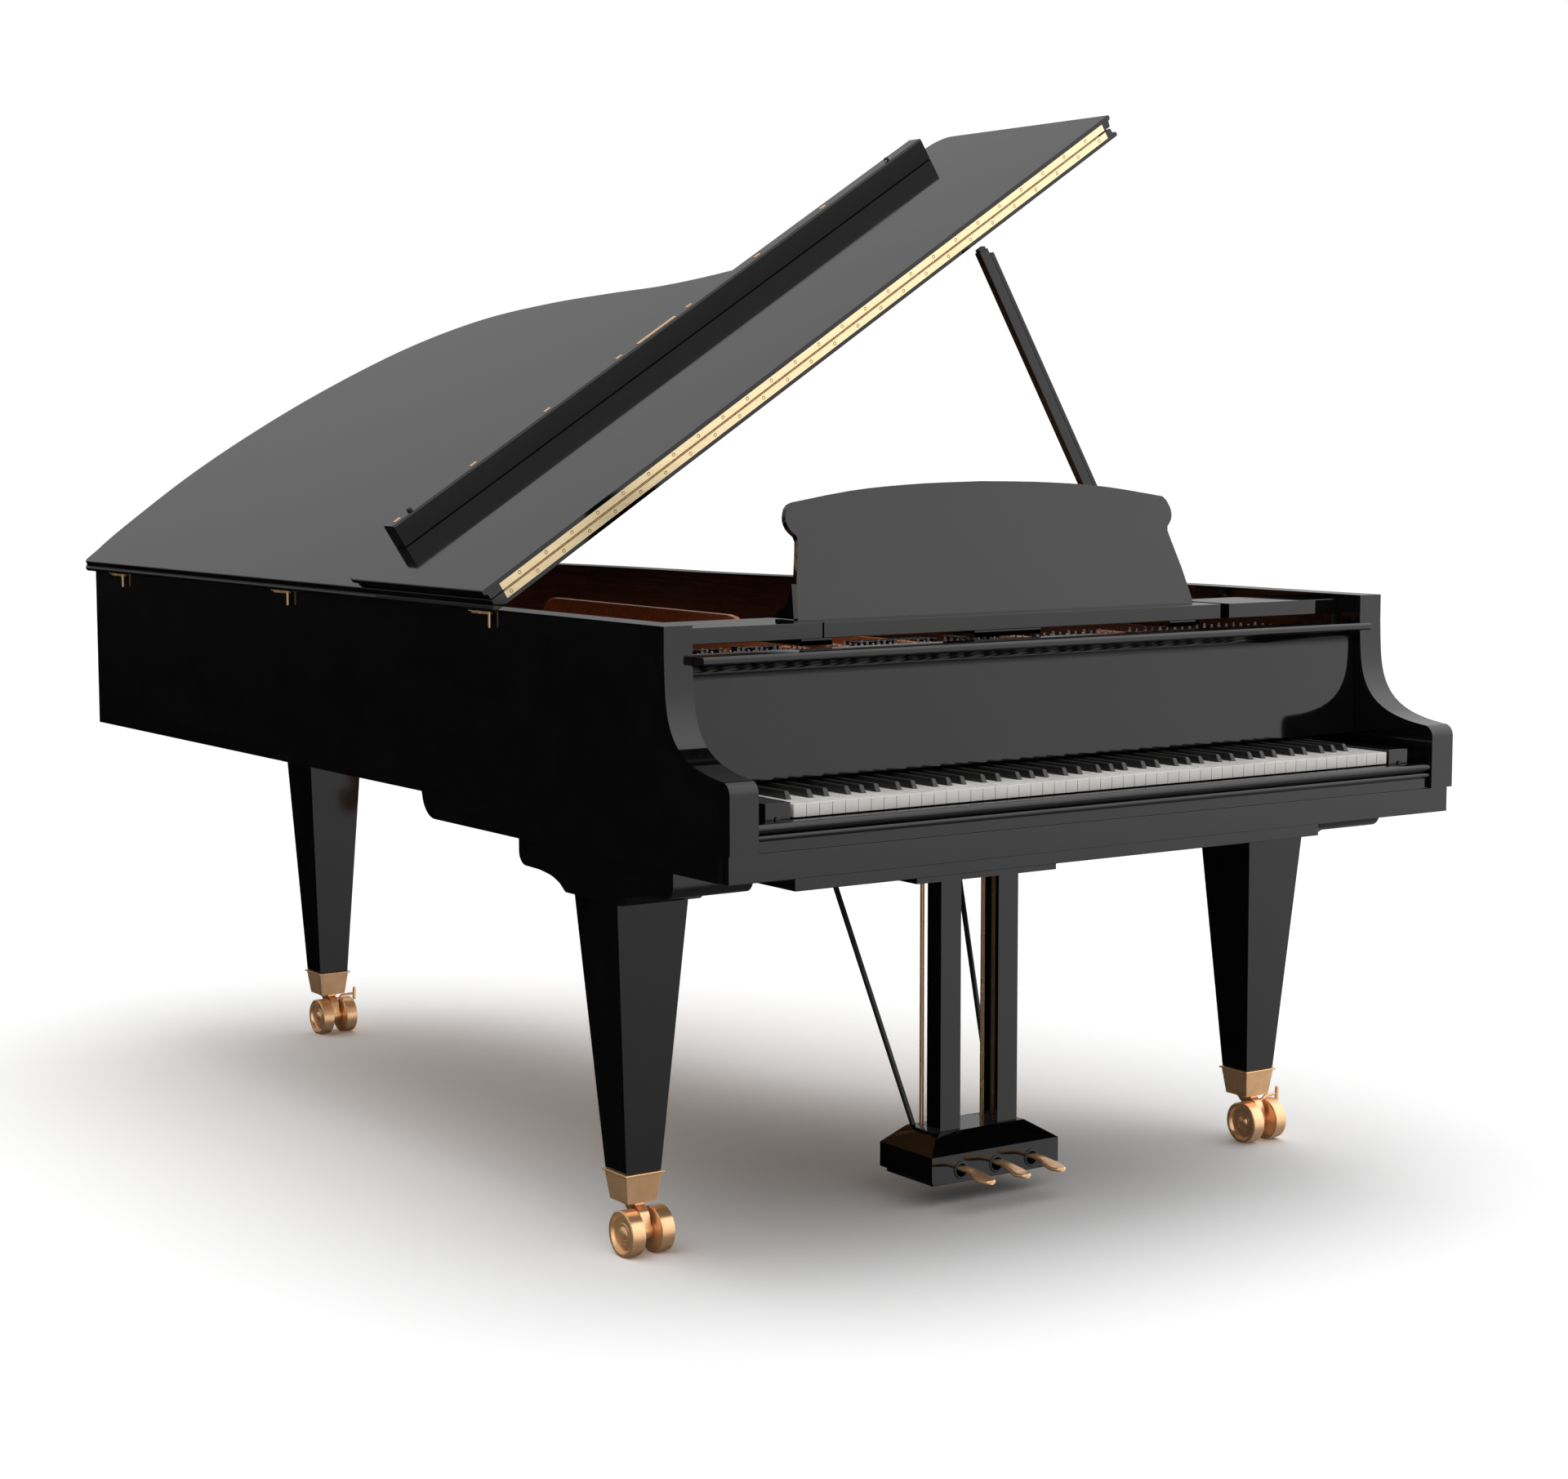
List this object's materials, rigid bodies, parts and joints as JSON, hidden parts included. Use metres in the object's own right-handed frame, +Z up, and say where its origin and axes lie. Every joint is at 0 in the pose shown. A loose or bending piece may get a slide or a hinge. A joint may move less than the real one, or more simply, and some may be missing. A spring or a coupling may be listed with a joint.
{
  "type": "grand piano",
  "caption": "Black high-gloss grand piano on three tapered legs with brass casters, lid raised on its prop, front flap folded back, music desk up and pedal lyre below.",
  "frame": {"origin": "middle of the footprint, on the floor under the casters", "axes": "+X to the treble side (the player's right), +Y from the keyboard to the tail, +Z up"},
  "size_m": [1.52, 2.5227, 1.8602],
  "materials": {
    "black": "high-gloss black polyester over laminated wood",
    "satin": "satin black lacquer",
    "ivory": "polished off-white key covering",
    "ebony": "matt black sharps",
    "bronze": "bronze-lacquered cast iron",
    "brass": "polished brass",
    "hinge_brass": "pale brushed brass",
    "steel": "steel wire",
    "spruce": "varnished spruce",
    "beech": "unvarnished beech",
    "felt": "wool felt"
  },
  "bodies": {
    "case": {"case_rim": "black", "keybed": "satin", "keybed_board": "satin", "key_slip": "black", "key_block_bass": "black", "key_block_treble": "black", "soundboard": "spruce", "iron_plate": "bronze", "bracing": "spruce", "strings": "steel", "dampers": "felt", "action": "beech", "keys_bass": "ivory", "keys_treble": "ivory", "lid_hinge_front": "brass", "lid_hinge_middle": "brass", "lid_hinge_rear": "brass", "prop_bracket": "black", "leg_block_bass": "black", "leg_block_treble": "black", "leg_bass": "black", "leg_treble": "black", "leg_tail": "black", "caster_cup_bass": "brass", "caster_cup_treble": "brass", "caster_cup_tail": "brass", "lyre_frame": "black", "pedal_box": "black", "pedal_box_base": "satin", "lyre_brace_bass": "satin", "lyre_brace_treble": "satin"},
    "fallboard": {"fallboard": "black"},
    "desk": {"desk_tray": "black", "desk_shelf_bass": "black", "desk_shelf_treble": "black"},
    "music_desk": {"music_desk": "black"},
    "desk_strut": {"desk_strut": "black"},
    "lid": {"lid_main": "black", "flap_hinge_lid_leaf": "hinge_brass"},
    "lid_flap": {"lid_flap": "black", "lid_lip": "black", "flap_hinge_flap_leaf": "hinge_brass"},
    "lid_prop": {"lid_prop": "black"},
    "caster_yoke_bass": {"caster_yoke_bass": "brass"},
    "caster_wheels_bass": {"caster_wheels_bass": "brass"},
    "caster_yoke_treble": {"caster_yoke_treble": "brass"},
    "caster_wheels_treble": {"caster_wheels_treble": "brass"},
    "caster_yoke_tail": {"caster_yoke_tail": "brass"},
    "caster_wheels_tail": {"caster_wheels_tail": "brass"},
    "pedal_left": {"pedal_left": "brass"},
    "pedal_rod_left": {"pedal_rod_left": "brass"},
    "pedal_middle": {"pedal_middle": "brass"},
    "pedal_rod_middle": {"pedal_rod_middle": "brass"},
    "pedal_right": {"pedal_right": "brass"},
    "pedal_rod_right": {"pedal_rod_right": "brass"},
    "key_c4": {"key_c4": "ivory"},
    "key_d4": {"key_d4": "ivory"},
    "key_e4": {"key_e4": "ivory"},
    "key_c4_sharp": {"key_c4_sharp": "ebony"},
    "key_d4_sharp": {"key_d4_sharp": "ebony"}
  },
  "joints": [
    {"name": "lid_hinge", "type": "hinge", "parent": "case", "child": "lid", "pos_m": [-0.729, 0.19865, 1.0024], "axis": [0, -1, 0], "range_deg": [-32.4, 0]},
    {"name": "flap_hinge", "type": "hinge", "parent": "lid", "child": "lid_flap", "pos_m": [-0.10049, -0.60305, 1.4304], "axis": [0.8443, 0, 0.5358], "range_deg": [0, 180]},
    {"name": "prop_fold", "type": "hinge", "parent": "case", "child": "lid_prop", "pos_m": [0.603, -0.62135, 0.978], "axis": [0.7488, 0.4931, 0.4428], "range_deg": [-73.74, 0]},
    {"name": "desk_slide", "type": "slide", "parent": "case", "child": "desk", "axis": [0, 1, 0], "range_m": [0, 0.19]},
    {"name": "desk_fold", "type": "hinge", "parent": "desk", "child": "music_desk", "pos_m": [0.019, -0.95735, 0.987], "axis": [1, 0, 0], "range_deg": [-73, 0]},
    {"name": "strut_fold", "type": "hinge", "parent": "music_desk", "child": "desk_strut", "pos_m": [0.019, -0.91903, 1.07985], "axis": [1, 0, 0], "range_deg": [0, 124.35]},
    {"name": "fallboard_hinge", "type": "hinge", "parent": "case", "child": "fallboard", "pos_m": [0.019, -1.07135, 0.778], "axis": [1, 0, 0], "range_deg": [0, 90]},
    {"name": "pedal_left_press", "type": "hinge", "parent": "case", "child": "pedal_left", "pos_m": [-0.055, -0.87635, 0.067], "axis": [1, 0, 0], "range_deg": [0, 5.5], "stiffness_Nm_per_rad": 20, "springref_deg": -3.44},
    {"name": "pedal_left_lift", "type": "slide", "parent": "case", "child": "pedal_rod_left", "axis": [0, 0, 1], "range_m": [0, 0.004]},
    {"name": "pedal_middle_press", "type": "hinge", "parent": "case", "child": "pedal_middle", "pos_m": [0.02, -0.87635, 0.067], "axis": [1, 0, 0], "range_deg": [0, 5.5], "stiffness_Nm_per_rad": 20, "springref_deg": -3.44},
    {"name": "pedal_middle_lift", "type": "slide", "parent": "case", "child": "pedal_rod_middle", "axis": [0, 0, 1], "range_m": [0, 0.004]},
    {"name": "pedal_right_press", "type": "hinge", "parent": "case", "child": "pedal_right", "pos_m": [0.095, -0.87635, 0.067], "axis": [1, 0, 0], "range_deg": [0, 5.5], "stiffness_Nm_per_rad": 20, "springref_deg": -3.44},
    {"name": "pedal_right_lift", "type": "slide", "parent": "case", "child": "pedal_rod_right", "axis": [0, 0, 1], "range_m": [0, 0.004]},
    {"name": "caster_bass_swivel", "type": "hinge", "parent": "case", "child": "caster_yoke_bass", "pos_m": [-0.64, -0.85535, 0.08], "axis": [0, 0, 1], "continuous": true},
    {"name": "caster_bass_roll", "type": "hinge", "parent": "caster_yoke_bass", "child": "caster_wheels_bass", "pos_m": [-0.64, -0.88135, 0.037], "axis": [1, 0, 0], "continuous": true},
    {"name": "caster_treble_swivel", "type": "hinge", "parent": "case", "child": "caster_yoke_treble", "pos_m": [0.678, -0.85535, 0.08], "axis": [0, 0, 1], "continuous": true},
    {"name": "caster_treble_roll", "type": "hinge", "parent": "caster_yoke_treble", "child": "caster_wheels_treble", "pos_m": [0.678, -0.88135, 0.037], "axis": [1, 0, 0], "continuous": true},
    {"name": "caster_tail_swivel", "type": "hinge", "parent": "case", "child": "caster_yoke_tail", "pos_m": [-0.284, 0.99265, 0.08], "axis": [0, 0, 1], "continuous": true},
    {"name": "caster_tail_roll", "type": "hinge", "parent": "caster_yoke_tail", "child": "caster_wheels_tail", "pos_m": [-0.284, 0.96665, 0.037], "axis": [1, 0, 0], "continuous": true},
    {"name": "key_c4_press", "type": "hinge", "parent": "case", "child": "key_c4", "pos_m": [-0.031, -1.00635, 0.722], "axis": [1, 0, 0], "range_deg": [0, 2.5], "stiffness_Nm_per_rad": 1, "springref_deg": -17.19},
    {"name": "key_d4_press", "type": "hinge", "parent": "case", "child": "key_d4", "pos_m": [-0.031, -1.00635, 0.722], "axis": [1, 0, 0], "range_deg": [0, 2.5], "stiffness_Nm_per_rad": 1, "springref_deg": -17.19},
    {"name": "key_e4_press", "type": "hinge", "parent": "case", "child": "key_e4", "pos_m": [-0.031, -1.00635, 0.722], "axis": [1, 0, 0], "range_deg": [0, 2.5], "stiffness_Nm_per_rad": 1, "springref_deg": -17.19},
    {"name": "key_c4_sharp_press", "type": "hinge", "parent": "case", "child": "key_c4_sharp", "pos_m": [-0.031, -1.00635, 0.722], "axis": [1, 0, 0], "range_deg": [0, 2.5], "stiffness_Nm_per_rad": 1, "springref_deg": -17.19},
    {"name": "key_d4_sharp_press", "type": "hinge", "parent": "case", "child": "key_d4_sharp", "pos_m": [-0.031, -1.00635, 0.722], "axis": [1, 0, 0], "range_deg": [0, 2.5], "stiffness_Nm_per_rad": 1, "springref_deg": -17.19}
  ],
  "couplings": [
    {"joint": "strut_fold", "follows": "desk_fold", "ratio": -1.7007},
    {"joint": "pedal_left_lift", "follows": "pedal_left_press", "m_per_rad": 0.04},
    {"joint": "pedal_middle_lift", "follows": "pedal_middle_press", "m_per_rad": 0.04},
    {"joint": "pedal_right_lift", "follows": "pedal_right_press", "m_per_rad": 0.04}
  ]
}
